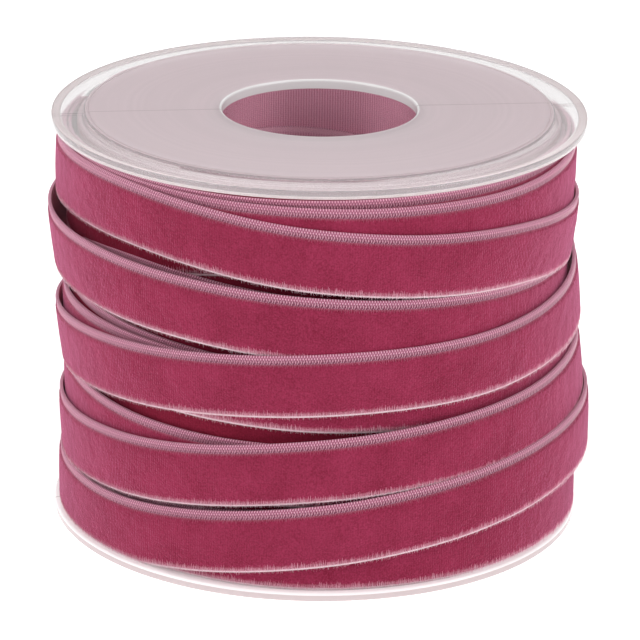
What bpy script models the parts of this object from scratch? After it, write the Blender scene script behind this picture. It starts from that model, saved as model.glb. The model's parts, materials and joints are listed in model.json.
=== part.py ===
"""Ribbon spool: a clear core tube between two push-fit flanges, wound with narrow velvet ribbon.

The spool stands on its bottom flange. The origin is the centre of the face it stands on and +Z is
the spindle axis. Sizes are in metres.
"""

import math

import bmesh
import bpy
from mathutils import Vector

# Flanges
SPOOL_HEIGHT = 0.071
FLANGE_RADIUS = 0.045
RING_WIDTH = 0.0057
RAISED_STEP = 0.0003
STEP_SLOPE = 0.0003
PLATE_THICKNESS = 0.0015
RIM_THICKNESS = 0.0015
RIM_WIDTH = 0.0012
RIM_ROUNDING = 0.0003
BORE_RADIUS = 0.0164
BORE_ROUNDING = 0.0003
SPIGOT_LENGTH = 0.012
SPIGOT_WALL = 0.0012
SPIGOT_LEAD = 0.0004

# Core tube
TUBE_WALL = 0.0015
SPIGOT_CLEARANCE = 0.0003
TUBE_END_GAP = 0.0003

# Ribbon
RIBBON_WIDTH = 0.010
RIBBON_THICKNESS = 0.0007
OUTER_LAYERS = 4
EDGE_CLEARANCE = 0.0002
LAY_GAP = 0.0002
BUTT_GAP = 0.0003
TAIL_LENGTH = 0.028
TAIL_STARTS_AT = 0.6

# Tape
TAPE_THICKNESS = 0.00012
START_TAPE_LENGTH = 0.018
START_TAPE_WIDTH = 0.014
TAIL_TAPE_LENGTH = 0.012
TAIL_TAPE_WIDTH = 0.007
TAIL_TAPE_OVERHANG = 0.005

# Facets
ROUND_STEPS = 60
STEPS_PER_TURN = 48
EASE_STEPS = 5
MERGE_DISTANCE = 0.00001
SHARP_ANGLE = math.radians(40)

# The ribbon's place across the winding space as it is laid, 0 against the bottom flange and 1
# against the top one. Each row is one turn, and its places are at the right, front, left and back.
FIRST_TURNS = (
    (0.979, 0.979, 0.979, 0.979),
    (0.958, 0.965, 0.979, 0.979),
)
LAST_TURNS = (
    (0.000, 0.000, 0.000, 0.020),
    (0.140, 0.250, 0.245, 0.280),
    (0.370, 0.465, 0.490, 0.545),
    (0.630, 0.705, 0.760, 0.768),
    (0.793, 0.909, 0.980, 0.842),
    (0.650, 0.535, 0.442, 0.420),
    (0.395, 0.282, 0.190, 0.176),
    (0.165, 0.067, 0.003, 0.003),
)
PLACES_PER_TURN = 4

# Sizes that follow
RAISED_DISC_RADIUS = FLANGE_RADIUS - RING_WIDTH
PLATE_TOP = PLATE_THICKNESS
RIM_TOP = RAISED_STEP + RIM_THICKNESS
SPIGOT_RADIUS = BORE_RADIUS + SPIGOT_WALL
SPIGOT_TOP = PLATE_TOP + SPIGOT_LENGTH
TUBE_INNER_RADIUS = SPIGOT_RADIUS + SPIGOT_CLEARANCE
TUBE_OUTER_RADIUS = TUBE_INNER_RADIUS + TUBE_WALL
START_TAPE_RADIUS = TUBE_OUTER_RADIUS + LAY_GAP
PACK_INNER_RADIUS = START_TAPE_RADIUS + TAPE_THICKNESS + LAY_GAP
PACK_RADIUS = FLANGE_RADIUS - OUTER_LAYERS * (RIBBON_THICKNESS + LAY_GAP) - LAY_GAP
LOWEST_EDGE = max(RIM_TOP, PLATE_TOP) + EDGE_CLEARANCE
LAY_TRAVEL = SPOOL_HEIGHT - 2 * LOWEST_EDGE - RIBBON_WIDTH


def clear_objects():
    for item in list(bpy.data.objects):
        bpy.data.objects.remove(item)


def plain_material(name, colour, roughness, transmission=0.0):
    material = bpy.data.materials.new(name)
    material.use_nodes = True
    shader = material.node_tree.nodes["Principled BSDF"]
    shader.inputs["Base Color"].default_value = (*colour, 1.0)
    shader.inputs["Roughness"].default_value = roughness
    shader.inputs["Metallic"].default_value = 0.0
    shader.inputs["Transmission Weight"].default_value = transmission
    return material


def frosted_plastic(name):
    return plain_material(name, (0.72, 0.68, 0.69), 0.25, 0.7)


def clear_plastic(name):
    return plain_material(name, (0.80, 0.79, 0.79), 0.12, 0.9)


def velvet(name):
    return plain_material(name, (0.42, 0.045, 0.11), 0.85)


def clear_tape(name):
    return plain_material(name, (0.85, 0.84, 0.80), 0.2, 0.8)


def add_object(name, mesh, material, place=(0.0, 0.0, 0.0)):
    mesh.materials.append(material)
    item = bpy.data.objects.new(name, mesh)
    item.location = place
    bpy.context.scene.collection.objects.link(item)
    return item


def turned(name, outline, material):
    """A closed outline of (radius, height) points, turned about Z. It runs down its outer side."""
    mesh = bpy.data.meshes.new(name)
    points = [(radius, 0.0, height) for radius, height in outline]
    edges = [(i, (i + 1) % len(points)) for i in range(len(points))]
    mesh.from_pydata(points, edges, [])
    item = add_object(name, mesh, material)
    screw = item.modifiers.new("turn", "SCREW")
    screw.axis = "Z"
    screw.steps = ROUND_STEPS
    screw.render_steps = ROUND_STEPS
    screw.use_merge_vertices = True
    screw.merge_threshold = MERGE_DISTANCE
    screw.use_smooth_shade = True
    return item


def flange_outline():
    """Half section of the bottom flange, from the rim's top edge down round to the spigot."""
    return [
        (FLANGE_RADIUS - RIM_ROUNDING, RIM_TOP),
        (FLANGE_RADIUS, RIM_TOP - RIM_ROUNDING),
        (FLANGE_RADIUS, RAISED_STEP + RIM_ROUNDING),
        (FLANGE_RADIUS - RIM_ROUNDING, RAISED_STEP),
        (RAISED_DISC_RADIUS + STEP_SLOPE, RAISED_STEP),
        (RAISED_DISC_RADIUS, 0.0),
        (BORE_RADIUS + BORE_ROUNDING, 0.0),
        (BORE_RADIUS, BORE_ROUNDING),
        (BORE_RADIUS, SPIGOT_TOP),
        (SPIGOT_RADIUS - SPIGOT_LEAD, SPIGOT_TOP),
        (SPIGOT_RADIUS, SPIGOT_TOP - SPIGOT_LEAD),
        (SPIGOT_RADIUS, PLATE_TOP),
        (FLANGE_RADIUS - RIM_WIDTH - RAISED_STEP, PLATE_TOP),
        (FLANGE_RADIUS - RIM_WIDTH, RIM_TOP),
    ]


def build_flanges():
    outline = flange_outline()
    upside_down = [(radius, SPOOL_HEIGHT - height) for radius, height in reversed(outline)]
    turned("bottom_flange", outline, frosted_plastic("bottom_flange_plastic"))
    turned("top_flange", upside_down, frosted_plastic("top_flange_plastic"))


def ring_outline(inner, outer, low, high):
    return [(outer, high), (outer, low), (inner, low), (inner, high)]


def build_core_tube():
    low = PLATE_TOP + TUBE_END_GAP
    outline = ring_outline(TUBE_INNER_RADIUS, TUBE_OUTER_RADIUS, low, SPOOL_HEIGHT - low)
    turned("core_tube", outline, clear_plastic("core_tube_plastic"))


def build_ribbon_pack():
    """The inner windings, as one ring."""
    outline = ring_outline(PACK_INNER_RADIUS, PACK_RADIUS, LOWEST_EDGE, SPOOL_HEIGHT - LOWEST_EDGE)
    turned("ribbon_pack", outline, velvet("ribbon_pack_velvet"))


def curved_through(values, position):
    """A smooth curve through evenly spaced values, read at a position counted in values."""
    last = len(values) - 1
    index = min(int(position), last - 1)
    part = position - index
    before = values[max(index - 1, 0)]
    start = values[index]
    end = values[index + 1]
    after = values[min(index + 2, last)]
    slope_at_start = (end - before) / 2
    slope_at_end = (after - start) / 2
    square = part * part
    cube = square * part
    return (
        (2 * cube - 3 * square + 1) * start
        + (cube - 2 * square + part) * slope_at_start
        + (3 * square - 2 * cube) * end
        + (cube - square) * slope_at_end
    )


def support_under(laid, step, low):
    """Radius of what the ribbon lies on at a step, with its lower edge at a height."""
    reach = RIBBON_WIDTH + LAY_GAP
    under = [radius for other, radius in laid[step % STEPS_PER_TURN] if abs(other - low) < reach]
    return max(under, default=PACK_RADIUS)


def lay_ribbon(turns, laid):
    """The ribbon's (lower edge, inner radius) at each step, laid over what is already there.

    It rises onto an earlier turn over a few steps before the crossing, and falls after it.
    """
    places = [place for turn in turns for place in turn]
    steps = (len(places) - 1) * STEPS_PER_TURN // PLACES_PER_TURN + 1
    lows = []
    for step in range(steps):
        place = curved_through(places, step * PLACES_PER_TURN / STEPS_PER_TURN)
        lows.append(LOWEST_EDGE + min(max(place, 0.0), 1.0) * LAY_TRAVEL)
    supports = []
    course = []
    for step in range(steps):
        while len(supports) < min(step + 2 * EASE_STEPS + 1, steps):
            supports.append(support_under(laid, len(supports), lows[len(supports)]))
        raised = []
        for near in range(max(step - EASE_STEPS, 0), min(step + EASE_STEPS + 1, steps)):
            raised.append(max(supports[max(near - EASE_STEPS, 0) : near + EASE_STEPS + 1]))
        inner = sum(raised) / len(raised) + LAY_GAP
        course.append((lows[step], inner))
        laid[step % STEPS_PER_TURN].append((lows[step], inner + RIBBON_THICKNESS))
    return course


def section_corners(course, step):
    """The four corners of the ribbon's section at a step. It is wound clockwise, seen from above."""
    low, inner = course[step]
    angle = -math.tau * step / STEPS_PER_TURN
    outward = Vector((math.cos(angle), math.sin(angle), 0.0))
    corners = []
    for radius, height in ((0.0, 0.0), (RIBBON_THICKNESS, 0.0), (RIBBON_THICKNESS, 1.0), (0.0, 1.0)):
        corners.append(outward * (inner + radius) + Vector((0.0, 0.0, low + height * RIBBON_WIDTH)))
    return corners


def step_length(course, step):
    return math.tau * course[step][1] / STEPS_PER_TURN


def stretch_sections(course, first, last, trim=0.0):
    """Sections from one step to another, with a trim taken off the start."""
    sections = [section_corners(course, step) for step in range(first, last + 1)]
    share = trim / step_length(course, first)
    sections[0] = [a.lerp(b, share) for a, b in zip(sections[0], sections[1])]
    return sections


def swept(name, sections, material, place=(0.0, 0.0, 0.0)):
    """A closed solid through four-cornered sections, with its origin at a place."""
    shape = bmesh.new()
    loops = []
    for corners in sections:
        loops.append([shape.verts.new(corner - Vector(place)) for corner in corners])
    for here, ahead in zip(loops, loops[1:]):
        for i in range(len(here)):
            j = (i + 1) % len(here)
            shape.faces.new((here[i], here[j], ahead[j], ahead[i]))
    shape.faces.new(loops[0])
    shape.faces.new(loops[-1])
    bmesh.ops.recalc_face_normals(shape, faces=shape.faces)
    mesh = bpy.data.meshes.new(name)
    shape.to_mesh(mesh)
    shape.free()
    mesh.shade_smooth()
    mesh.set_sharp_from_angle(angle=SHARP_ANGLE)
    return add_object(name, mesh, material, place)


def build_turns(course, first_number, last_step):
    """One node for each turn of a course, with a butt gap between one turn and the next."""
    number = first_number
    for first in range(0, last_step, STEPS_PER_TURN):
        last = min(first + STEPS_PER_TURN, last_step)
        name = f"ribbon_turn_{number:02d}"
        trim = BUTT_GAP if first else 0.0
        swept(name, stretch_sections(course, first, last, trim), velvet(name + "_velvet"))
        number += 1
    return number


def tape_sections(radius, middle, low, width, length):
    """Sections of a strip of tape that is bent round the axis, about a middle angle."""
    steps = max(2, round(length / radius / math.tau * STEPS_PER_TURN) + 1)
    sections = []
    for step in range(steps + 1):
        angle = middle + length / radius * (step / steps - 0.5)
        outward = Vector((math.cos(angle), math.sin(angle), 0.0))
        corners = []
        for depth, height in ((0.0, 0.0), (TAPE_THICKNESS, 0.0), (TAPE_THICKNESS, 1.0), (0.0, 1.0)):
            corners.append(outward * (radius + depth) + Vector((0.0, 0.0, low + height * width)))
        sections.append(corners)
    return sections


def build_start_tape():
    """The strip that holds the ribbon's first end to the core tube, at the back."""
    low = (SPOOL_HEIGHT - START_TAPE_WIDTH) / 2
    strip = tape_sections(START_TAPE_RADIUS, math.pi / 2, low, START_TAPE_WIDTH, START_TAPE_LENGTH)
    swept("start_tape", strip, clear_tape("start_tape_film"))


def build_tail(course, first):
    """The free end of the ribbon and the tape on it. They bend back about the ribbon's outer face."""
    low, inner = course[first]
    outer = inner + RIBBON_THICKNESS
    angle = -math.tau * first / STEPS_PER_TURN
    hinge = (math.cos(angle) * outer, math.sin(angle) * outer, low)
    last = first + round(TAIL_LENGTH / step_length(course, first))
    tail = swept(
        "ribbon_tail",
        stretch_sections(course, first, last, BUTT_GAP),
        velvet("ribbon_tail_velvet"),
        hinge,
    )
    tape_radius = max(inner for low, inner in course[first : last + 1]) + RIBBON_THICKNESS + LAY_GAP
    tape_middle = -math.tau * last / STEPS_PER_TURN
    tape_middle += (TAIL_TAPE_LENGTH / 2 - TAIL_TAPE_OVERHANG) / tape_radius
    tape_low = course[last][0] + (RIBBON_WIDTH - TAIL_TAPE_WIDTH) / 2
    strip = tape_sections(tape_radius, tape_middle, tape_low, TAIL_TAPE_WIDTH, TAIL_TAPE_LENGTH)
    tape = swept("tail_tape", strip, clear_tape("tail_tape_film"), hinge)
    pivot = bpy.data.objects.new("tail_hinge", None)
    pivot.location = hinge
    bpy.context.scene.collection.objects.link(pivot)
    for item in (tail, tape):
        item.parent = pivot
        item.location = (0.0, 0.0, 0.0)


def build_winding():
    laid = [[] for _ in range(STEPS_PER_TURN)]
    first_course = lay_ribbon(FIRST_TURNS, laid)
    last_course = lay_ribbon(LAST_TURNS, laid)
    number = build_turns(first_course, 1, len(first_course) - 1)
    tail_step = round((len(LAST_TURNS) - 1 + TAIL_STARTS_AT) * STEPS_PER_TURN)
    build_turns(last_course, number, tail_step)
    build_tail(last_course, tail_step)


def build_spool():
    clear_objects()
    build_flanges()
    build_core_tube()
    build_start_tape()
    build_ribbon_pack()
    build_winding()


build_spool()
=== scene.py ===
"""The looks of the ribbon spool: clear push-fit plastic, wound with raspberry velvet ribbon.

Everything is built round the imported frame, in metres, with +Z up the spindle axis. Places along
the winding are counted in stations, eight to a turn, clockwise from the right as seen from above.
"""

import json
import math

import bpy
import numpy as np
from mathutils import Matrix, Vector, noise


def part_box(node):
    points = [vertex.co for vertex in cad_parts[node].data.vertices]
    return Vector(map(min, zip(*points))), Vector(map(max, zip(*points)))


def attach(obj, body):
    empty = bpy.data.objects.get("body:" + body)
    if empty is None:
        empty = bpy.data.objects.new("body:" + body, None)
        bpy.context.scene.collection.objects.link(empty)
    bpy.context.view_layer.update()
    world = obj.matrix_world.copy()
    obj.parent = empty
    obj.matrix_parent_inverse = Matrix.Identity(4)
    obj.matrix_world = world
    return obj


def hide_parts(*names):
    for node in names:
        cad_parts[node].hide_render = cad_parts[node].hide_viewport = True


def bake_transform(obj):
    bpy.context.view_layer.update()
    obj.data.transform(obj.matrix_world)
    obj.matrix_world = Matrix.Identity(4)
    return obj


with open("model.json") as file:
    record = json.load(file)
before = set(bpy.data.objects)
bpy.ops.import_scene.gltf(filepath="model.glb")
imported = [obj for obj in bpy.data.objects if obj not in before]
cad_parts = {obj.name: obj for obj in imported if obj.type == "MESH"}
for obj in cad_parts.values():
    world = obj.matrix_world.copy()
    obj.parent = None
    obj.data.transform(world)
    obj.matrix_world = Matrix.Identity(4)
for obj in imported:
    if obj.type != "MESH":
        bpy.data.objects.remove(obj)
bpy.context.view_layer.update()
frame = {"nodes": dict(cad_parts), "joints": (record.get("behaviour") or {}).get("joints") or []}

MM = 0.001

# Sizes that the frame gives
SPOOL_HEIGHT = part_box("top_flange")[1].z
FLANGE_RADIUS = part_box("bottom_flange")[1].x
SPIGOT_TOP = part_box("bottom_flange")[1].z
TUBE_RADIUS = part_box("core_tube")[1].x
TUBE_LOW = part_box("core_tube")[0].z
TUBE_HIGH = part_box("core_tube")[1].z
PACK_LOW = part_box("ribbon_pack")[0].z
PACK_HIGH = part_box("ribbon_pack")[1].z
TAIL_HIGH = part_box("ribbon_tail")[1]
TAIL_HINGE = Vector(next(j for j in frame["joints"] if j["name"] == "tail_peel")["pos_m"])

# Flanges and tube
RING_WIDTH = 5.7 * MM
RAISED_STEP = 0.3 * MM
PLATE = 1.5 * MM
RIM_HEIGHT = 1.5 * MM
RIM_WIDTH = 1.2 * MM
RIM_TOP = RAISED_STEP + RIM_HEIGHT
RIM_INSIDE = FLANGE_RADIUS - RIM_WIDTH
DISC_RADIUS = FLANGE_RADIUS - RING_WIDTH
BORE_RADIUS = 16.4 * MM
SPIGOT_WALL = 1.2 * MM
SPIGOT_RADIUS = BORE_RADIUS + SPIGOT_WALL
TUBE_WALL = 1.5 * MM
TUBE_ROUNDING = 0.25 * MM
GROOVE_IN = 0.35 * MM
GROOVE_DEPTH = 0.15 * MM
# Up to this height the rim's outer face takes the darker plastic, painted shade
EDGE_TOP = RAISED_STEP + 1.1 * MM
KNIT_ANGLE = math.radians(6.5)
TURN_SEGMENTS = 240
OUTLINE_STEP = 1.2 * MM
PLATE_SWELL = 0.03 * MM
TAPE_ROUNDING = 0.03 * MM

# Ribbon
WIDTH = 10.75 * MM
STATIONS = 8
STEPS_PER_STATION = 28
PLATE_GAP = 0.3 * MM

# How far the ribbon strays from its path: its height, its two radii and its lower edge
HEIGHT_STRAY = 0.10 * MM
RADIUS_STRAY = 0.10 * MM
LOW_RADIUS_STRAY = 0.12 * MM
LOW_EDGE_STRAY = 0.08 * MM

# The inner windings, as one ring of layers
CORE_RADIUS = 40.6 * MM
CORE_INNER_RADIUS = 21.75 * MM
LAYER_PITCH = 0.95 * MM
LAYER_DIP = 0.45 * MM
LAYER_RISE = 0.30 * MM

# One layer's edge: shares of the pitch across it, and of the dip down from it
LAYER_PROFILE = ((0.0, 1.0), (0.2, 0.15), (0.5, 0.0), (0.8, 0.15))

# The lay of the ribbon, in millimetres. Each turn has a row of heights of its selvage, a row of
# radii at the selvage and a row of radii at the lower edge, one value for each station. The radii
# are those of the pile's face. The front and the sides follow the photo, and the back is guessed.
# The top turns lie under the top flange, the main turns run on to the free end, and the under turns
# show through the gaps.
TOP_TURNS = (
    (
        (67.8, 67.6, 66.5, 63.0, 62.0, 64.0, 67.0, 67.8),
        (41.5, 41.5, 41.5, 41.5, 41.5, 41.5, 41.5, 41.5),
        (41.5, 41.5, 41.5, 41.6, 42.7, 42.2, 41.5, 41.5),
    ),
    ((68.4, 68.3, 68.1, 68.0, 68.0, 68.0, 68.0, 67.9), (42.4,) * 8, (42.4,) * 8),
    (
        (67.4, 66.5, 67.1, 67.9, 68.0, 67.6, 64.5, 56.5),
        (43.4, 43.3, 43.3, 43.3, 43.3, 43.3, 43.0, 42.4),
        (43.1, 43.3, 43.3, 43.3, 43.3, 43.3, 42.8, 42.3),
    ),
)
MAIN_TURNS = (
    (
        (20.5, 18.6, 15.3, 12.2, 11.4, 11.6, 12.0, 12.2),
        (41.4, 41.5, 41.5, 41.5, 41.4, 41.4, 41.6, 42.4),
        (41.4, 41.4, 41.4, 41.4, 41.4, 41.4, 41.6, 42.6),
    ),
    (
        (12.3, 12.4, 12.2, 11.3, 10.8, 12.0, 14.5, 19.0),
        (44.6, 43.6, 42.6, 42.4, 42.4, 42.4, 42.4, 43.0),
        (44.9, 44.3, 43.7, 43.0, 42.4, 42.4, 42.4, 43.0),
    ),
    (
        (24.0, 25.4, 26.3, 27.3, 29.4, 30.0, 32.0, 35.0),
        (44.3, 43.4, 42.6, 43.0, 43.3, 43.0, 42.6, 43.1),
        (44.1, 43.2, 42.5, 42.7, 43.0, 42.9, 42.6, 43.1),
    ),
    (
        (37.5, 38.6, 39.7, 41.1, 41.5, 41.8, 43.0, 45.6),
        (43.9, 43.2, 42.7, 43.1, 43.5, 43.0, 42.4, 42.3),
        (43.9, 43.2, 42.8, 43.4, 42.8, 42.4, 42.4, 42.3),
    ),
    (
        (48.4, 50.0, 52.3, 54.6, 55.5, 55.8, 56.4, 57.4),
        (42.4, 43.3, 44.0, 45.1, 45.9, 44.3, 43.3, 43.3),
        (42.3, 43.2, 43.9, 44.5, 44.6, 43.7, 43.3, 43.3),
    ),
    (
        (57.6, 60.6, 63.8, 67.6, 67.4, 65.5, 60.5, 53.5),
        (44.2, 44.3, 44.2, 44.2, 44.2, 44.7, 44.7, 44.4),
        (43.0, 43.6, 43.8, 43.8, 44.4, 45.6, 44.9, 44.4),
    ),
    (
        (46.7, 43.9, 42.9, 40.3, 37.8, 36.2, 35.3, 34.6),
        (44.0, 44.3, 44.6, 44.5, 44.8, 44.4, 43.8, 44.0),
        (45.0, 44.4, 44.2, 43.9, 43.4, 43.6, 43.8, 44.6),
    ),
    (
        (33.5, 31.0, 28.0, 23.8, 21.8, 21.2, 22.4, 23.2),
        (44.8, 44.7, 44.3, 44.2, 44.2, 44.1, 44.1, 44.8),
        (45.9, 45.2, 44.2, 44.0, 43.6, 43.2, 43.3, 44.8),
    ),
    (
        (23.7, 21.1, 16.7, 12.3, 11.6, 13.0, 13.0, 13.0),
        (46.8, 45.7, 44.6, 44.0, 44.1, 44.1, 44.1, 44.1),
        (47.0, 46.1, 44.7, 44.3, 44.2, 44.1, 44.1, 44.1),
    ),
)
UNDER_TURNS = (
    ((26.0, 29.0, 32.5, 34.0, 35.0, 36.0, 37.0, 38.0), (41.5,) * 8, (41.5,) * 8),
    (
        (39.0, 39.0, 39.6, 41.8, 43.5, 45.0, 46.5, 47.5),
        (41.5, 41.5, 41.5, 42.0, 42.4, 41.8, 41.5, 41.5),
        (41.5,) * 8,
    ),
    (
        (48.5, 50.5, 51.4, 54.2, 52.0, 53.5, 55.0, 56.0),
        (41.5, 41.5, 41.5, 42.0, 42.4, 41.8, 41.5, 41.5),
        (41.5, 41.5, 41.5, 42.0, 42.4, 41.8, 41.5, 41.5),
    ),
)

# The first windings, in millimetres: a level turn at the top lies over a helix. The falls are for
# one station, and the helix falls a little faster in its first turn.
FIRST_STATIONS = 54
FIRST_RADIUS = 20.8
FIRST_OVERLAP_RADIUS = 21.62
FIRST_TOP = 69.2
FIRST_FALL = 1.31
LATER_FALL = 1.27

# The ribbon's section: (place across from the lower edge, depth out from the pile's face) in
# millimetres, and what lies between it and the next point. Places are for a ribbon this wide.
SECTION_WIDTH = 10.2
SECTION = (
    (0.00, -0.78, "selvage"),
    (-0.03, -0.52, "selvage"),
    (0.30, -0.34, "pile"),
    (0.50, -0.12, "pile"),
    (0.90, -0.02, "pile"),
    (2.20, 0.03, "pile"),
    (4.00, 0.06, "pile"),
    (5.80, 0.06, "pile"),
    (7.40, 0.03, "pile"),
    (8.25, -0.02, "pile"),
    (8.58, -0.10, "pile"),
    (8.76, -0.30, "selvage"),
    (9.15, -0.35, "selvage"),
    (9.50, -0.30, "selvage"),
    (9.74, -0.22, "selvage"),
    (9.98, -0.20, "selvage"),
    (10.14, -0.28, "selvage"),
    (10.20, -0.46, "selvage"),
    (10.15, -0.78, "back"),
    (5.10, -0.78, "back"),
)

# The pile's face is above this depth, and only the face ripples
PILE_DEPTH = -0.2

# What lies along the section, by its place in the ribbon's list of materials
# The painted_shade kind is pile painted darker, as painted shade, where it lies in shade
KINDS = {"pile": 0, "selvage": 1, "back": 2, "painted_shade": 3}

# Fibres: spacing, root and tip as (place across, depth), how much the length varies, and radius
FRINGE = (0.19 * MM, (0.95, -0.01), (-0.20, -0.18), 0.20, 0.042 * MM)
PILE_EDGE = (0.40 * MM, (8.30, -0.04), (8.92, -0.20), 0.3, 0.05 * MM)
SPACING_SCATTER = 0.35
ROOT_SCATTER = (-0.45, 0.35)
FIBRE_LEAN = 0.25 * MM
FIBRE_BULGE = 0.06 * MM
FIBRE_TAPER = 0.8
THICKNESS_RANGE = (0.8, 1.2)

# Stitches: spacing, slant, the places of the two ends, and the section as (along, depth)
STITCH_PITCH = 0.46 * MM
STITCH_SLANT = 0.11 * MM
STITCH_ENDS = (8.84, 9.62)
STITCH_SECTION = ((-0.10, -0.42), (0.0, -0.25), (0.10, -0.42))

# The parts of a flange's surface, by their place in its list of materials
DISC, PLATE_FACE, SPIGOT, LIP, OUTER_FACE, RIM_SIDE = range(6)

# Studio lights and floor
WORLD_STRENGTH = 0.54
SIDE_LIGHT = (0.55, -0.25, 0.40)
SIDE_SIZE = (0.4, 0.6)
SIDE_POWER = 1.9
TOP_LIGHT = (0.0, 0.45, 0.50)
TOP_SIZE = (0.6, 0.6)
TOP_POWER = 0.9
FLOOR_HALF = 3.0
FLOOR_DROP = 0.05 * MM
FLOOR_GLOW = 0.42

# Camera
CAMERA_DISTANCE = 671.8 * MM
CAMERA_ELEVATION = math.radians(19.62)
CAMERA_ROLL = math.radians(0.784)
CAMERA_LENS = 221.05
SENSOR_WIDTH = 36.0
SHIFT_X = 0.005
SHIFT_Y = -0.0214
CLIP_START = 10 * MM


# Geometry helpers


def rounded(outline, radii, steps=5):
    """An outline whose corners are rounded: one radius for each point."""
    points = []
    for i, (corner, radius) in enumerate(zip(outline, radii)):
        if not radius:
            points.append(corner)
            continue
        here = Vector(corner)
        before = (Vector(outline[i - 1]) - here).normalized()
        after = (Vector(outline[(i + 1) % len(outline)]) - here).normalized()
        half = before.angle(after) / 2
        reach = radius / math.tan(half)
        centre = here + (before + after).normalized() * (radius / math.sin(half))
        start = here + before * reach - centre
        end = here + after * reach - centre
        turn = start.angle_signed(end)
        for step in range(steps + 1):
            angle = -turn * step / steps
            spoke = Matrix.Rotation(angle, 2) @ start
            points.append(tuple(centre + spoke))
    return points


def mesh_object(name, points, faces, materials, smooth=True, sharp=35):
    """An object in the scene. Its edges over the sharp angle, in degrees, stay sharp."""
    mesh = bpy.data.meshes.new(name)
    mesh.from_pydata(points, [], faces)
    for material in materials:
        mesh.materials.append(material)
    if smooth:
        mesh.shade_smooth()
        mesh.set_sharp_from_angle(angle=math.radians(sharp))
    item = bpy.data.objects.new(name, mesh)
    bpy.context.scene.collection.objects.link(item)
    return item


def turned(name, outline, materials, material_at=None, wave=None):
    """A closed outline of (radius, height) turned about Z, with its outer side running down."""
    angles = [math.tau * i / TURN_SEGMENTS for i in range(TURN_SEGMENTS)]
    count = len(outline)
    points = []
    for angle in angles:
        for radius, height in outline:
            lift = wave(radius, height, angle) if wave else 0.0
            points.append((radius * math.cos(angle), radius * math.sin(angle), height + lift))
    faces = []
    kinds = []
    for i in range(TURN_SEGMENTS):
        here = i * count
        ahead = (i + 1) % TURN_SEGMENTS * count
        for j in range(count):
            k = (j + 1) % count
            faces.append((here + j, here + k, ahead + k, ahead + j))
            kinds.append(material_at(outline[j], outline[k]) if material_at else 0)
    item = mesh_object(name, points, faces, materials)
    item.data.polygons.foreach_set("material_index", kinds)
    return item


def through(values, position):
    """A smooth curve through evenly spaced values, read at a position counted in values."""
    last = len(values) - 1
    index = min(int(position), last - 1)
    part = position - index
    a, b = values[max(index - 1, 0)], values[index]
    c, d = values[index + 1], values[min(index + 2, last)]
    slope_b = (c - a) / 2
    slope_c = (d - b) / 2
    rise = part * part * (3 - 2 * part)
    return (
        b + (c - b) * rise
        + slope_b * part * (1 - part) ** 2
        - slope_c * part * part * (1 - part)
    )


# Materials


def add(tree, kind, inputs=None, **settings):
    """A node with its settings, and its inputs linked or set."""
    node = tree.nodes.new(kind)
    for key, value in settings.items():
        setattr(node, key, value)
    for key, value in (inputs or {}).items():
        if isinstance(value, bpy.types.NodeSocket):
            tree.links.new(value, node.inputs[key])
        else:
            node.inputs[key].default_value = value
    return node


def colour_mix(tree, share, a, b):
    """From colour a at a share of 0 to colour b at 1."""
    node = add(tree, "ShaderNodeMix", {0: share}, data_type="RGBA")
    for index, value in ((6, a), (7, b)):
        if isinstance(value, bpy.types.NodeSocket):
            tree.links.new(value, node.inputs[index])
        else:
            node.inputs[index].default_value = (*value, 1.0)
    return node.outputs[2]


def maths(tree, kind, a, b):
    """The result of one Math node on two sockets or numbers."""
    return add(tree, "ShaderNodeMath", {0: a, 1: b}, operation=kind).outputs[0]


def stripes(tree, value, pitch):
    """0 to 1 and back, once for each pitch of a value."""
    phase = maths(tree, "MULTIPLY", value, math.tau / pitch)
    wave = add(tree, "ShaderNodeMath", {0: phase}, operation="SINE").outputs[0]
    return add(tree, "ShaderNodeMapRange", {"Value": wave, "From Min": -1.0}).outputs[0]


def spread(tree, value, low, high):
    """0 at a low value and 1 at a high one."""
    return add(
        tree, "ShaderNodeMapRange", {"Value": value, "From Min": low, "From Max": high}
    ).outputs[0]


def grain(tree, vector, scale, detail=3.0):
    """Noise from 0 to 1."""
    return add(
        tree, "ShaderNodeTexNoise", {"Vector": vector, "Scale": scale, "Detail": detail}
    ).outputs["Fac"]


def new_material(name, **values):
    """A material, its node tree and its Principled shader with the given socket values."""
    material = bpy.data.materials.new(name)
    material.use_nodes = True
    tree = material.node_tree
    shader = tree.nodes["Principled BSDF"]
    for key, value in values.items():
        shader.inputs[key.replace("_", " ")].default_value = value
    return material, tree, shader


def along_and_across(tree):
    """The ribbon's own coordinates in millimetres: along its length, and across it."""
    place = add(tree, "ShaderNodeSeparateXYZ", {0: add(tree, "ShaderNodeTexCoord").outputs["UV"]})
    return place.outputs[0], place.outputs[1]


def distance_from_axis(tree, place):
    """The distance of a place from the spindle axis, in metres."""
    split = add(tree, "ShaderNodeSeparateXYZ", {0: place}).outputs
    flat = add(tree, "ShaderNodeCombineXYZ", {0: split[0], 1: split[1]}).outputs[0]
    return add(tree, "ShaderNodeVectorMath", {0: flat}, operation="LENGTH").outputs["Value"]


def bump(tree, shader, height, distance, strength=1.0):
    """Fine relief on the shader's surface, where a height of 1 stands out by the distance."""
    node = add(
        tree, "ShaderNodeBump", {"Height": height, "Distance": distance, "Strength": strength}
    )
    tree.links.new(node.outputs[0], shader.inputs["Normal"])


PILE_DEEP = (0.190, 0.008, 0.030)
PILE_LIGHT = (0.385, 0.036, 0.098)
# Pale pile tips, partly painted highlight
PILE_TIP_HIGHLIGHT = (0.86, 0.50, 0.58)
# Painted shade: darker pile colours for ribbon that lies in the shade of the gaps between turns
SHADED_PILE_DARK = (0.16, 0.006, 0.021)
SHADED_PILE_PALE = (0.28, 0.016, 0.048)
PILE_SHEEN = (1.0, 0.36, 0.60, 1.0)
SELVAGE_SHEEN = (1.0, 0.62, 0.76, 1.0)
FIBRE_SHEEN = (1.0, 0.8, 0.87, 1.0)

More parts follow.
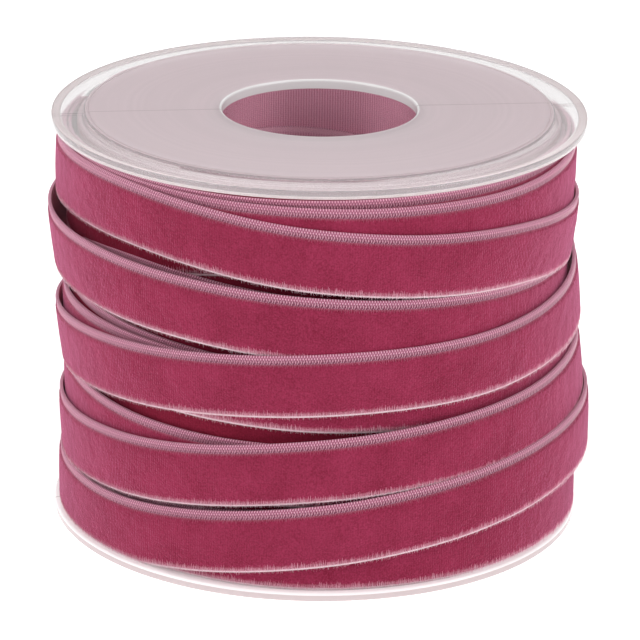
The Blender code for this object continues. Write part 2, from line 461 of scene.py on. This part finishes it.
# Spacings along and across the ribbon, in millimetres
ROW_PITCH = 0.42
COMB_PITCH = 0.31
BRAID_PITCH = 0.46
RIB_PITCH = 0.50
THREAD_PITCH = 0.32


def pile_material(name, sheen, deep, light, tip_highlight):
    """Velvet pile: crushed patches, a fine rib along its rows, and pale tips at its two edges,
    which are partly painted highlight.
    """
    material, tree, shader = new_material(
        name, Roughness=0.9, Sheen_Weight=sheen, Sheen_Roughness=0.42
    )
    shader.inputs["Sheen Tint"].default_value = PILE_SHEEN
    shader.inputs["Specular IOR Level"].default_value = 0.15
    place = add(tree, "ShaderNodeTexCoord").outputs["Object"]
    along, across = along_and_across(tree)
    patches = spread(tree, grain(tree, place, scale=170.0, detail=5.0), low=0.30, high=0.70)
    specks = spread(tree, grain(tree, place, scale=3600.0, detail=2.0), low=0.34, high=0.68)
    rows = stripes(tree, along, ROW_PITCH)
    patchy = maths(tree, "MULTIPLY", patches, 0.30)
    shade = maths(tree, "ADD", patchy, maths(tree, "MULTIPLY", specks, 0.50))
    shade = maths(tree, "ADD", shade, maths(tree, "MULTIPLY", rows, 0.07))
    body = colour_mix(tree, shade, deep, light)
    # Paler towards both edges: partly the pile's own pale tips, partly painted highlight where the
    # edges catch the light
    low_edge = spread(tree, across, low=1.10, high=0.10)
    high_edge = spread(tree, across, low=8.5, high=9.6)
    comb = maths(tree, "ADD", specks, stripes(tree, along, COMB_PITCH))
    comb = maths(tree, "MULTIPLY", comb, 0.6 * tip_highlight)
    edge = maths(tree, "MULTIPLY", maths(tree, "MAXIMUM", low_edge, high_edge), comb)
    colour = colour_mix(tree, edge, body, PILE_TIP_HIGHLIGHT)
    tree.links.new(colour, shader.inputs["Base Color"])
    relief = maths(tree, "ADD", specks, maths(tree, "MULTIPLY", rows, 0.5))
    crush = spread(tree, grain(tree, place, scale=420.0, detail=2.0), low=0.3, high=0.7)
    relief = maths(tree, "ADD", relief, maths(tree, "MULTIPLY", crush, 2.0))
    bump(tree, shader, relief, distance=0.12 * MM, strength=0.6)
    return material


def selvage_material():
    """Woven edge: a pale braided cord outside, and a darker line beside the pile. Its lower edge
    face is painted pale, a painted highlight.
    """
    material, tree, shader = new_material(
        "woven_selvage", Roughness=0.7, Sheen_Weight=0.8, Sheen_Roughness=0.4
    )
    shader.inputs["Sheen Tint"].default_value = SELVAGE_SHEEN
    along, across = along_and_across(tree)
    half = maths(tree, "MULTIPLY", across, 0.5)
    one_way = stripes(tree, maths(tree, "ADD", along, half), BRAID_PITCH)
    other_way = stripes(tree, maths(tree, "SUBTRACT", along, half), BRAID_PITCH)
    braid = spread(tree, maths(tree, "MULTIPLY", one_way, other_way), low=0.05, high=0.6)
    cord = spread(tree, across, low=9.30, high=9.65)
    dark = colour_mix(tree, braid, (0.20, 0.035, 0.08), (0.52, 0.21, 0.30))
    pale = colour_mix(tree, braid, (0.38, 0.09, 0.17), (0.86, 0.45, 0.58))
    body = colour_mix(tree, cord, dark, pale)
    # The lower edge face is painted pale: painted highlight on an edge that lies in shade
    low_edge = spread(tree, across, low=1.0, high=0.4)
    colour = colour_mix(tree, low_edge, body, (0.92, 0.74, 0.78))
    tree.links.new(colour, shader.inputs["Base Color"])
    bump(tree, shader, braid, distance=0.14 * MM)
    return material


def back_material():
    """The ribbon's plain woven back: fine ribs across it, and threads along it."""
    material, tree, shader = new_material(
        "woven_back", Roughness=0.65, Sheen_Weight=0.2, Sheen_Roughness=0.5
    )
    along, across = along_and_across(tree)
    ribs = maths(tree, "MULTIPLY", stripes(tree, along, RIB_PITCH), 0.7)
    threads = maths(tree, "MULTIPLY", stripes(tree, across, THREAD_PITCH), 0.3)
    weave = maths(tree, "ADD", ribs, threads)
    body = colour_mix(tree, weave, (0.58, 0.17, 0.28), (0.98, 0.50, 0.64))
    high_edge = spread(tree, across, low=9.1, high=9.5)
    low_edge = spread(tree, across, low=0.9, high=0.5)
    edge = maths(tree, "MAXIMUM", high_edge, low_edge)
    colour = colour_mix(tree, edge, body, (0.92, 0.47, 0.60))
    tree.links.new(colour, shader.inputs["Base Color"])
    bump(tree, shader, weave, distance=0.10 * MM, strength=0.7)
    return material


def fibre_material(name, root, tip):
    """Loose fibres, whose colour runs from the root to the tip."""
    material, tree, shader = new_material(
        name, Roughness=0.8, Sheen_Weight=0.5, Sheen_Roughness=0.4
    )
    shader.inputs["Sheen Tint"].default_value = FIBRE_SHEEN
    _, from_root = along_and_across(tree)
    place = add(tree, "ShaderNodeTexCoord").outputs["Object"]
    specks = spread(tree, grain(tree, place, scale=3000.0), low=0.1, high=0.5)
    colour = colour_mix(tree, maths(tree, "MULTIPLY", from_root, specks), root, tip)
    tree.links.new(colour, shader.inputs["Base Color"])
    return material


def coil_edge_material():
    """The wound ribbon's edges, packed side by side: pale selvages and darker pile between."""
    material, tree, shader = new_material("coil_edges", Roughness=0.8, Sheen_Weight=0.4)
    place = add(tree, "ShaderNodeTexCoord").outputs["Object"]
    rows = stripes(tree, distance_from_axis(tree, place), LAYER_PITCH)
    weave = grain(tree, place, scale=2600.0)
    shade = maths(tree, "MULTIPLY", rows, spread(tree, weave, low=0.25, high=0.6))
    colour = colour_mix(tree, shade, (0.27, 0.06, 0.11), (0.60, 0.36, 0.42))
    tree.links.new(colour, shader.inputs["Base Color"])
    bump(tree, shader, weave, distance=0.2 * MM, strength=0.6)
    return material


def clear_material(
    name, colour, gloss, clearness, roughness, streaks=0.0, knit_line=False, glow=0.0
):
    """Clear plastic with fine moulding rings. Light reaches what lies under it.

    Glow is painted light: an emission that stands in for the light that gathers inside the plastic
    from the bright table under it.
    """
    material, tree, shader = new_material(name, Roughness=roughness, IOR=1.49)
    shader.inputs["Base Color"].default_value = (*colour, 1.0)
    shader.inputs["Transmission Weight"].default_value = clearness
    shader.inputs["Coat Weight"].default_value = gloss
    shader.inputs["Coat Roughness"].default_value = 0.12
    shader.inputs["Emission Color"].default_value = (*colour, 1.0)
    shader.inputs["Emission Strength"].default_value = glow
    place = add(tree, "ShaderNodeTexCoord").outputs["Object"]
    drift = maths(tree, "MULTIPLY", grain(tree, place, scale=60.0), 1.6 * MM)
    uneven = maths(tree, "ADD", distance_from_axis(tree, place), drift)
    ringed = add(tree, "ShaderNodeCombineXYZ", {0: uneven}).outputs[0]
    rings = grain(tree, ringed, scale=900.0, detail=2.0)
    swirls = grain(tree, ringed, scale=260.0, detail=3.0)
    fine = grain(tree, place, scale=5200.0, detail=2.0)
    shade = maths(
        tree, "MULTIPLY",
        spread(tree, rings, low=0.3, high=0.7), spread(tree, swirls, low=0.35, high=0.6),
    )
    tone = colour_mix(tree, shade, tuple(0.92 * c for c in colour), colour)
    height = maths(
        tree, "ADD", maths(tree, "MULTIPLY", rings, streaks), maths(tree, "MULTIPLY", fine, 0.05)
    )
    if knit_line:
        line = knit_line_mask(tree, place)
        tone = colour_mix(tree, maths(tree, "MULTIPLY", line, 0.75), tone, (0.42, 0.33, 0.35))
        height = maths(tree, "SUBTRACT", height, maths(tree, "MULTIPLY", line, 1.5))
    tree.links.new(tone, shader.inputs["Base Color"])
    bump(tree, shader, height, distance=0.12 * MM, strength=0.5)
    clear = add(tree, "ShaderNodeBsdfTransparent", {"Color": (0.99, 0.98, 0.985, 1.0)})
    shadow = add(tree, "ShaderNodeLightPath").outputs["Is Shadow Ray"]
    mix = add(tree, "ShaderNodeMixShader", {0: shadow, 1: shader.outputs[0], 2: clear.outputs[0]})
    tree.links.new(mix.outputs[0], tree.nodes["Material Output"].inputs["Surface"])
    return material


def knit_line_mask(tree, place):
    """1 on the thin line across a flange where the melt met in the mould."""
    split = add(tree, "ShaderNodeSeparateXYZ", {0: place}).outputs
    off = maths(
        tree, "SUBTRACT",
        maths(tree, "MULTIPLY", split[1], math.cos(KNIT_ANGLE)),
        maths(tree, "MULTIPLY", split[0], math.sin(KNIT_ANGLE)),
    )
    return spread(tree, maths(tree, "ABSOLUTE", off, 0.0), low=0.20 * MM, high=0.05 * MM)


PILE = pile_material("velvet_pile", 1.0, PILE_DEEP, PILE_LIGHT, tip_highlight=1.0)
# Painted shade: the same velvet painted darker and with little sheen, for ribbon in the gaps' shade
SHADED_PILE = pile_material("shaded_velvet_pile", 0.15, SHADED_PILE_DARK, SHADED_PILE_PALE, tip_highlight=0.0)
RIBBON_MATERIALS = [PILE, selvage_material(), back_material(), SHADED_PILE]
# The fringe fibres' near-white tips are partly painted highlight, for the strongly lit lower edge
FRINGE_FIBRES = fibre_material("fringe_fibres", (0.60, 0.15, 0.26), (1.0, 0.82, 0.87))
EDGE_FIBRES = fibre_material("pile_edge_fibres", (0.34, 0.035, 0.09), (0.52, 0.14, 0.23))
STITCHES = fibre_material("selvage_stitches", (0.70, 0.33, 0.44), (0.76, 0.50, 0.57))
# The frosted disc's darker grey-pink is partly painted shade: it stands in for the shaded ribbon
# seen through the frost
FROSTED = clear_material(
    "frosted_plastic", (0.70, 0.565, 0.60), gloss=0.35, clearness=0.35, roughness=0.42,
    streaks=0.35, knit_line=True,
)
CLEAR = clear_material(
    "clear_plastic", (0.975, 0.95, 0.955), gloss=0.3, clearness=0.86, roughness=0.07,
    streaks=0.30, knit_line=True,
)
CLOUDY = clear_material(
    "cloudy_plastic", (0.99, 0.96, 0.965), gloss=0.3, clearness=0.15, roughness=0.20,
    streaks=0.20, knit_line=True,
)
# Painted light: cloudy plastic with a faint glow, for the bottom flange's plate and rim sides in
# the ribbon's shade
LIT = clear_material(
    "lit_plastic", (0.99, 0.95, 0.955), gloss=0.3, clearness=0.15, roughness=0.20,
    streaks=0.20, knit_line=True, glow=0.13,
)
# Painted shade: a darker, pinker copy of the cloudy plastic, for the bottom flange's outer face and
# the top flange's rim side
SHADED_EDGE = clear_material(
    "shaded_edge_plastic", (0.72, 0.615, 0.62), gloss=0.3, clearness=0.15, roughness=0.20,
    streaks=0.20, knit_line=True,
)
TUBE = clear_material(
    "tube_plastic", (0.98, 0.97, 0.97), gloss=0.1, clearness=1.0, roughness=0.05, streaks=0.3
)
TAPE = clear_material(
    "tape_film", (0.96, 0.95, 0.92), gloss=0.3, clearness=0.96, roughness=0.04
)


# Plastic


def flange_outline():
    """Half section of the bottom flange, from the rim's top round its outside to the spigot.

    Each corner is its radius, its height and its rounding in millimetres.
    """
    groove = DISC_RADIUS - GROOVE_IN
    corners = [
        (FLANGE_RADIUS, RIM_TOP, 0.40),
        (FLANGE_RADIUS, EDGE_TOP, 0.0),
        (FLANGE_RADIUS, RAISED_STEP, 0.30),
        (DISC_RADIUS + RAISED_STEP, RAISED_STEP, 0.10),
        (DISC_RADIUS, 0.0, 0.10),
        (groove, 0.0, 0.05),
        (groove - GROOVE_DEPTH, GROOVE_DEPTH, 0.05),
        (groove - 2 * GROOVE_DEPTH, 0.0, 0.05),
        (BORE_RADIUS, 0.0, 0.4),
        (BORE_RADIUS, SPIGOT_TOP, 0.3),
        (SPIGOT_RADIUS, SPIGOT_TOP, 0.4),
        (SPIGOT_RADIUS, PLATE, 0.25),
        (RIM_INSIDE - RAISED_STEP, PLATE, 0.3),
        (RIM_INSIDE, RIM_TOP, 0.12),
    ]
    outline = [(radius, height) for radius, height, _ in corners]
    return rounded(outline, [rounding * MM for _, _, rounding in corners])


def plastic_kind(here, ahead):
    """Which part of the flange's surface lies between two points of the outline.

    The margins take in each part's rounded corners.
    """
    innermost = min(here[0], ahead[0])
    outermost = max(here[0], ahead[0])
    height = max(here[1], ahead[1])
    if outermost < SPIGOT_RADIUS + 0.1 * MM and height > PLATE + 0.2 * MM:
        return SPIGOT
    if outermost < BORE_RADIUS + 0.45 * MM:
        return LIP
    if innermost > FLANGE_RADIUS - 0.35 * MM and height < EDGE_TOP + 0.01 * MM:
        return OUTER_FACE
    if innermost > RIM_INSIDE - 0.5 * MM and height > PLATE + 0.05 * MM:
        return RIM_SIDE
    if height < RAISED_STEP / 2 and outermost < DISC_RADIUS + RAISED_STEP:
        return DISC
    return PLATE_FACE


def turned_over(point):
    """A point of the bottom flange's outline as it is on the top flange."""
    return point[0], SPOOL_HEIGHT - point[1]


def build_flanges():
    """One moulding twice: at the bottom, and turned over at the top."""
    outline = flange_outline()
    fine = []
    for (r0, z0), (r1, z1) in zip(outline, outline[1:] + outline[:1]):
        pieces = max(1, round(max(abs(r1 - r0), abs(z1 - z0)) / OUTLINE_STEP))
        for i in range(pieces):
            fine.append((r0 + (r1 - r0) * i / pieces, z0 + (z1 - z0) * i / pieces))

    def shallow(radius, height, angle):
        """A moulded plate is never quite flat."""
        swell = noise.noise(Vector((math.cos(angle), math.sin(angle), radius * 60)))
        inside = RAISED_STEP < height < SPOOL_HEIGHT - RAISED_STEP
        return PLATE_SWELL * swell if inside else 0.0

    def kind_above(here, ahead):
        return plastic_kind(turned_over(here), turned_over(ahead))

    # The bottom flange's plate and rim sides glow as painted light, and its outer face is painted
    # shade; the top flange's rim side is painted shade
    bottom = turned(
        "bottom_flange_moulding", fine,
        [FROSTED, LIT, TUBE, CLOUDY, SHADED_EDGE, LIT], plastic_kind, shallow,
    )
    top = turned(
        "top_flange_moulding", [turned_over(point) for point in reversed(fine)],
        [FROSTED, CLEAR, TUBE, CLOUDY, CLEAR, SHADED_EDGE], kind_above, shallow,
    )
    for item, node, body in (
        (bottom, "bottom_flange", "lower_flange"),
        (top, "top_flange", "upper_flange"),
    ):
        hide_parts(node)
        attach(item, body)


def build_tube():
    """The clear core tube, into which both spigots push."""
    inner = TUBE_RADIUS - TUBE_WALL
    outline = [
        (TUBE_RADIUS, TUBE_HIGH), (TUBE_RADIUS, TUBE_LOW), (inner, TUBE_LOW), (inner, TUBE_HIGH)
    ]
    tube = turned("core_tube_moulding", rounded(outline, [TUBE_ROUNDING] * 4), [TUBE])
    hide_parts("core_tube")
    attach(tube, "winding")


# Ribbon


def joined_rows(turns):
    """The heights and both radii of several turns, one after another, in metres."""
    return [[value * MM for turn in turns for value in turn[part]] for part in range(3)]


def ribbon_frames(rows, first, last, wobble=1.0):
    """At each step: the lower edge's and the selvage's points, and the direction out."""
    heights, upper, lower = rows

    def stray(amount, *place):
        return amount * wobble * noise.noise(Vector(place))

    steps = max(2, round((last - first) * STEPS_PER_STATION))
    frames = []
    for step in range(steps + 1):
        position = first + (last - first) * step / steps
        angle = -math.tau * position / STATIONS
        seed = position * 1.7
        top = through(heights, position) + stray(HEIGHT_STRAY, seed, 3.0, 1.0)
        top_radius = through(upper, position) + stray(RADIUS_STRAY, seed, 7.0, 2.0)
        low_radius = through(lower, position) + stray(LOW_RADIUS_STRAY, seed, 11.0, 5.0)
        lean = top_radius - low_radius
        low = top - math.sqrt(max(WIDTH * WIDTH - lean * lean, 0.0))
        low += stray(LOW_EDGE_STRAY, seed * 1.3, 17.0, 9.0)
        low = max(low, PLATE + PLATE_GAP)
        outward = Vector((math.cos(angle), math.sin(angle), 0.0))
        low_point = outward * low_radius + Vector((0, 0, low))
        top_point = outward * top_radius + Vector((0, 0, top))
        frames.append((low_point, top_point, outward))
    return frames


def frame_axes(frame_here):
    """The direction across the ribbon, as a share of its width, and the way its face points."""
    low, top, outward = frame_here
    across = top - low
    along = Vector((-outward.y, outward.x, 0.0))
    face = along.cross(across).normalized()
    return low, across, face if face.dot(outward) > 0 else -face


def distances(frames):
    """How far along the ribbon each step is, in metres, measured at its middle."""
    total = [0.0]
    for here, ahead in zip(frames, frames[1:]):
        total.append(total[-1] + ((ahead[0] + ahead[1]) / 2 - (here[0] + here[1]) / 2).length)
    return total


def build_ribbon(name, frames, painted_shade=0):
    """A closed ribbon with raised pile and a recessed selvage. Its first steps' pile is painted
    darker, as painted shade.
    """
    lengths = distances(frames)
    count = len(SECTION)
    points = []
    places = []
    for here, length in zip(frames, lengths):
        low, across, face = frame_axes(here)
        for place, depth, _ in SECTION:
            point = low + across * (place / SECTION_WIDTH) + face * (depth * MM)
            if depth > PILE_DEPTH:
                ripple = noise.noise(point * 420) * 0.05 + noise.noise(point * 1300) * 0.03
                point = point + face * (ripple * MM)
            points.append(point)
            places.append((length / MM, place))
    faces = []
    kinds = []
    corners = []
    for step in range(len(frames) - 1):
        here = step * count
        ahead = here + count
        for i in range(count):
            j = (i + 1) % count
            faces.append((here + i, here + j, ahead + j, ahead + i))
            corners.extend((here + i, here + j, ahead + j, ahead + i))
            kind = SECTION[i][2]
            # Pile in the first steps is painted darker: painted shade
            kinds.append(KINDS["painted_shade" if kind == "pile" and step < painted_shade else kind])
    faces.append(tuple(range(count))[::-1])
    faces.append(tuple(range(len(points) - count, len(points))))
    corners.extend(faces[-2])
    corners.extend(faces[-1])
    kinds.extend([KINDS["selvage"]] * 2)
    ribbon = mesh_object(name, points, faces, RIBBON_MATERIALS, sharp=60)
    ribbon.data.polygons.foreach_set("material_index", kinds)
    layer = ribbon.data.uv_layers.new(name="UVMap")
    layer.data.foreach_set("uv", np.array([places[c] for c in corners], np.float32).ravel())
    ribbon.data.flip_normals()
    return ribbon


def at_length(frames, lengths, wanted):
    """The frame at a length along the ribbon."""
    index = min(int(np.searchsorted(lengths, wanted, side="right")) - 1, len(lengths) - 2)
    share = (wanted - lengths[index]) / (lengths[index + 1] - lengths[index])
    low, across, face = frame_axes(frames[index])
    low_ahead, across_ahead, face_ahead = frame_axes(frames[index + 1])
    pairs = ((low, low_ahead), (across, across_ahead), (face, face_ahead))
    return [here.lerp(ahead, share) for here, ahead in pairs]


def build_fibres(name, frames, pitch, root, tip, scatter, radius, material, draw):
    """Short tapered fibres from one place in the section to another, along the whole ribbon."""
    lengths = distances(frames)
    points = []
    faces = []
    shades = []
    for number in range(int((lengths[-1] - pitch) / pitch)):
        wanted = (number + 0.5 + draw.uniform(-SPACING_SCATTER, SPACING_SCATTER)) * pitch
        low, across, face = at_length(frames, lengths, wanted)
        step = across.cross(face).normalized()
        stretch = draw.uniform(1 - scatter, 1 + scatter)
        rooted = root[0] + (tip[0] - root[0]) * draw.uniform(*ROOT_SCATTER)
        start = low + across * (rooted / SECTION_WIDTH) + face * (root[1] * MM)
        reach_across = (tip[0] - rooted) * stretch / SECTION_WIDTH
        reach_out = (tip[1] - root[1]) * stretch * MM
        lean = draw.uniform(-FIBRE_LEAN, FIBRE_LEAN)
        end = start + across * reach_across + face * reach_out + step * lean
        middle = start.lerp(end, 0.5) + face * FIBRE_BULGE
        axis = (end - start).normalized()
        side = axis.cross(face).normalized()
        base = len(points)
        thick = radius * draw.uniform(*THICKNESS_RANGE)
        for centre, size in ((start, thick), (middle, thick * FIBRE_TAPER)):
            for turn in range(3):
                angle = math.tau * turn / 3
                spoke = side * math.cos(angle) + face * math.sin(angle)
                points.append(centre + spoke * size)
        points.append(end)
        faces.append((base, base + 2, base + 1))
        for i in range(3):
            j = (i + 1) % 3
            faces.append((base + i, base + j, base + 3 + j, base + 3 + i))
            faces.append((base + 3 + i, base + 3 + j, base + 6))
        shade = draw.random()
        shades.extend([(shade, 0.0)] * 3 + [(shade, 0.55)] * 3 + [(shade, 1.0)])
    item = mesh_object(name, points, faces, [material], smooth=False)
    layer = item.data.uv_layers.new(name="UVMap")
    loops = np.zeros(len(item.data.loops), np.int32)
    item.data.loops.foreach_get("vertex_index", loops)
    layer.data.foreach_set("uv", np.array(shades, np.float32)[loops].ravel())
    return item


class Draw:
    """Seeded random numbers."""

    def __init__(self, seed):
        self.source = np.random.RandomState(seed)

    def uniform(self, low, high):
        return low + (high - low) * self.source.random_sample()

    def random(self):
        return self.source.random_sample()


def build_trim(name, frames, seed):
    """The fringe under the lower edge, the fibres over the selvage, and the selvage's stitches."""
    draw = Draw(seed)
    fringe = build_fibres(name + "_fringe", frames, *FRINGE, FRINGE_FIBRES, draw)
    pile_edge = build_fibres(name + "_pile_edge", frames, *PILE_EDGE, EDGE_FIBRES, draw)
    return [fringe, pile_edge, build_stitches(name + "_stitches", frames)]


def build_stitches(name, frames):
    """Small slanted bars that cross the selvage beside the pile."""
    lengths = distances(frames)
    points = []
    faces = []
    count = int((lengths[-1] - STITCH_PITCH) / STITCH_PITCH)
    for number in range(count):
        low, across, face = at_length(frames, lengths, (number + 0.5) * STITCH_PITCH)
        step = across.cross(face).normalized()
        slant = STITCH_SLANT if number % 2 else -STITCH_SLANT
        base = len(points)
        for place, lean in zip(STITCH_ENDS, (-slant, slant)):
            middle = low + across * (place / SECTION_WIDTH) + step * lean
            for offset, depth in STITCH_SECTION:
                points.append(middle + step * (offset * MM) + face * (depth * MM))
        faces.append((base, base + 1, base + 2))
        faces.append((base + 3, base + 5, base + 4))
        faces.append((base, base + 3, base + 4, base + 1))
        faces.append((base + 1, base + 4, base + 5, base + 2))
        faces.append((base + 2, base + 5, base + 3, base))
    item = mesh_object(name, points, faces, [STITCHES], smooth=False)
    item.data.uv_layers.new(name="UVMap")
    return item


def wind(name, rows, first, last, nodes, wobble=1.0, trim_seed=None, painted_shade=0):
    """One stretch of the ribbon that rides on the winding.

    With no seed it has stitches and no fibres, for turns whose lower edge stays out of sight.
    The pile is painted darker along the first stations, as many as painted_shade says: painted
    shade.
    """
    frames = ribbon_frames(rows, first, last, wobble)
    ribbon = build_ribbon(name, frames, painted_shade * STEPS_PER_STATION)
    if trim_seed is None:
        trim = [build_stitches(name + "_stitches", frames)]
    else:
        trim = build_trim(name, frames, trim_seed)
    if nodes:
        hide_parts(*nodes)
    for item in [ribbon, *trim]:
        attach(item, "winding")


def last_turn_position(point):
    """The station in the last turn that faces a point."""
    angle = math.atan2(point.y, point.x) % math.tau
    return (len(MAIN_TURNS) - 1) * STATIONS + STATIONS * (math.tau - angle) / math.tau


def build_free_end(rows):
    """The ribbon's last stretch, from the peel's hinge to the tail's end, along the last turn."""
    frames = ribbon_frames(rows, last_turn_position(TAIL_HINGE), last_turn_position(TAIL_HIGH))
    ribbon = build_ribbon("ribbon_free_end", frames)
    trim = build_trim("ribbon_free_end", frames, seed=41)
    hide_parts("ribbon_tail")
    for item in [ribbon, *trim]:
        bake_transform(item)


def build_winding():
    """The whole ribbon, from the tube outwards."""
    wind(
        "first_windings", first_windings_rows(), 0, FIRST_STATIONS - 1,
        [], wobble=0.4,
    )
    build_core()
    # Painted shade: the under turns all along, and the upper turns along their first six stations,
    # lie in the gaps' shade
    under_stations = len(UNDER_TURNS) * STATIONS
    wind(
        "under_windings", joined_rows(UNDER_TURNS), 0, under_stations - 1,
        [], painted_shade=under_stations,
    )
    wind(
        "upper_windings", joined_rows(TOP_TURNS), 0, len(TOP_TURNS) * STATIONS - 1,
        ["ribbon_turn_01", "ribbon_turn_02"], trim_seed=17, painted_shade=6,
    )
    rows = joined_rows(MAIN_TURNS)
    turns = [f"ribbon_turn_{number:02d}" for number in range(3, 11)]
    wind(
        "wound_ribbon", rows, 0, last_turn_position(TAIL_HINGE),
        turns, trim_seed=23,
    )
    build_free_end(rows)


def first_windings_rows():
    """The turns that lie on the core tube: one level turn at the top, then a falling helix."""
    heights = [FIRST_TOP] * (STATIONS + 1)
    while len(heights) < FIRST_STATIONS:
        fall = FIRST_FALL if len(heights) <= 2 * STATIONS else LATER_FALL
        heights.append(heights[-1] - fall)
    radii = [FIRST_OVERLAP_RADIUS] * STATIONS
    radii += [FIRST_RADIUS] * (FIRST_STATIONS - STATIONS)
    return [[value * MM for value in row] for row in (heights, radii, radii)]


def build_core():
    """The inner windings as one ring, whose end faces show the ribbon's edges side by side."""
    layers = round((CORE_RADIUS - CORE_INNER_RADIUS) / LAYER_PITCH)
    pitch = (CORE_RADIUS - CORE_INNER_RADIUS) / layers

    def edges(height, dip):
        """The layers' edges from the bore outwards, with a groove of this dip between layers."""
        points = []
        for layer in range(layers):
            inner = CORE_INNER_RADIUS + layer * pitch
            for across, down in LAYER_PROFILE:
                points.append((inner + pitch * across, height - dip * down))
        points.append((CORE_RADIUS, height - dip))
        return points

    outline = edges(PACK_HIGH, LAYER_DIP) + edges(PACK_LOW, -LAYER_DIP)[::-1]

    def uneven(radius, height, angle):
        """Each layer's edge stands a little higher or lower than the next."""
        layer = round(radius / pitch)
        place = Vector((math.cos(angle) * 2, math.sin(angle) * 2, layer * 3.1))
        rise = LAYER_RISE * noise.noise(place)
        return min(rise, 0.0) if height > SPOOL_HEIGHT / 2 else max(rise, 0.0)

    # The outer wall takes the darker pile: painted shade
    core = turned("inner_windings", outline, [coil_edge_material(), SHADED_PILE], core_kind, uneven)
    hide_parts("ribbon_pack")
    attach(core, "winding")


def core_kind(here, ahead):
    """Pile painted darker, as painted shade, on the outer wall, and the ribbon's edges and back
    everywhere else.
    """
    outer = here[0] > CORE_RADIUS - MM and abs(here[1] - ahead[1]) > SPOOL_HEIGHT / 2
    return 1 if outer else 0


def build_tape(name, node, body):
    """A strip of tape, bent as its CAD strip is, with its edges rounded."""
    mesh = frame["nodes"][node].data
    strip = bpy.data.objects.new(name, mesh.copy())
    bpy.context.scene.collection.objects.link(strip)
    strip.data.materials.clear()
    strip.data.materials.append(TAPE)
    smooth = strip.modifiers.new("round", "BEVEL")
    smooth.width = TAPE_ROUNDING
    smooth.segments = 2
    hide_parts(node)
    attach(strip, body)


# Surroundings


def build_floor():
    """A plain pale table that glows a little, so that it stays white under the spool."""
    material, tree, shader = new_material("studio_floor", Roughness=0.9)
    place = add(tree, "ShaderNodeTexCoord").outputs["Object"]
    shade = grain(tree, place, scale=30.0)
    tone = colour_mix(tree, shade, (0.93, 0.93, 0.93), (0.95, 0.95, 0.95))
    tree.links.new(tone, shader.inputs["Base Color"])
    shader.inputs["Emission Color"].default_value = (1.0, 1.0, 1.0, 1.0)
    shader.inputs["Emission Strength"].default_value = FLOOR_GLOW
    half = FLOOR_HALF
    corners = [(-half, -half, 0), (half, -half, 0), (half, half, 0), (-half, half, 0)]
    floor = mesh_object("studio_floor", corners, [(0, 1, 2, 3)], [material], smooth=False)
    floor.location.z = -FLOOR_DROP


def add_light(name, place, target, size, power):
    """A softbox that faces the target."""
    light = bpy.data.lights.new(name, "AREA")
    light.shape = "RECTANGLE"
    light.size, light.size_y = size
    light.energy = power
    item = bpy.data.objects.new(name, light)
    item.location = place
    item.rotation_mode = "QUATERNION"
    item.rotation_quaternion = (Vector(target) - Vector(place)).to_track_quat("-Z", "Y")
    bpy.context.scene.collection.objects.link(item)


def build_lights():
    """A softbox on each side and one above, in a white room."""
    world = bpy.data.worlds.new("studio_world")
    world.use_nodes = True
    background = world.node_tree.nodes["Background"]
    background.inputs["Color"].default_value = (1.0, 1.0, 1.0, 1.0)
    background.inputs["Strength"].default_value = WORLD_STRENGTH
    bpy.context.scene.world = world
    middle = (0.0, 0.0, SPOOL_HEIGHT / 2)
    for name, side in (("left_softbox", -1), ("right_softbox", 1)):
        place = (side * SIDE_LIGHT[0], *SIDE_LIGHT[1:])
        add_light(name, place, middle, SIDE_SIZE, SIDE_POWER)
    add_light("top_softbox", TOP_LIGHT, middle, TOP_SIZE, TOP_POWER)


def build_camera():
    """The photo's view: from above the front, slightly rolled and through a long lens."""
    data = bpy.data.cameras.new("camera")
    data.lens = CAMERA_LENS
    data.sensor_width = SENSOR_WIDTH
    data.shift_x = SHIFT_X
    data.shift_y = SHIFT_Y
    data.clip_start = CLIP_START
    camera = bpy.data.objects.new("camera", data)
    bpy.context.scene.collection.objects.link(camera)
    back = Vector((0.0, -math.cos(CAMERA_ELEVATION), math.sin(CAMERA_ELEVATION)))
    camera.location = Vector((0.0, 0.0, SPOOL_HEIGHT / 2)) + back * CAMERA_DISTANCE
    camera.rotation_mode = "QUATERNION"
    turn = Matrix.Rotation(CAMERA_ROLL, 3, "Z").to_quaternion()
    camera.rotation_quaternion = (-back).to_track_quat("-Z", "Y") @ turn
    bpy.context.scene.camera = camera


build_camera()
build_flanges()
build_tube()
build_winding()
build_tape("start_tape_strip", "start_tape", "winding")
build_tape("tail_tape_strip", "tail_tape", "tail")
build_floor()
build_lights()
bpy.context.scene.view_settings.view_transform = "Standard"
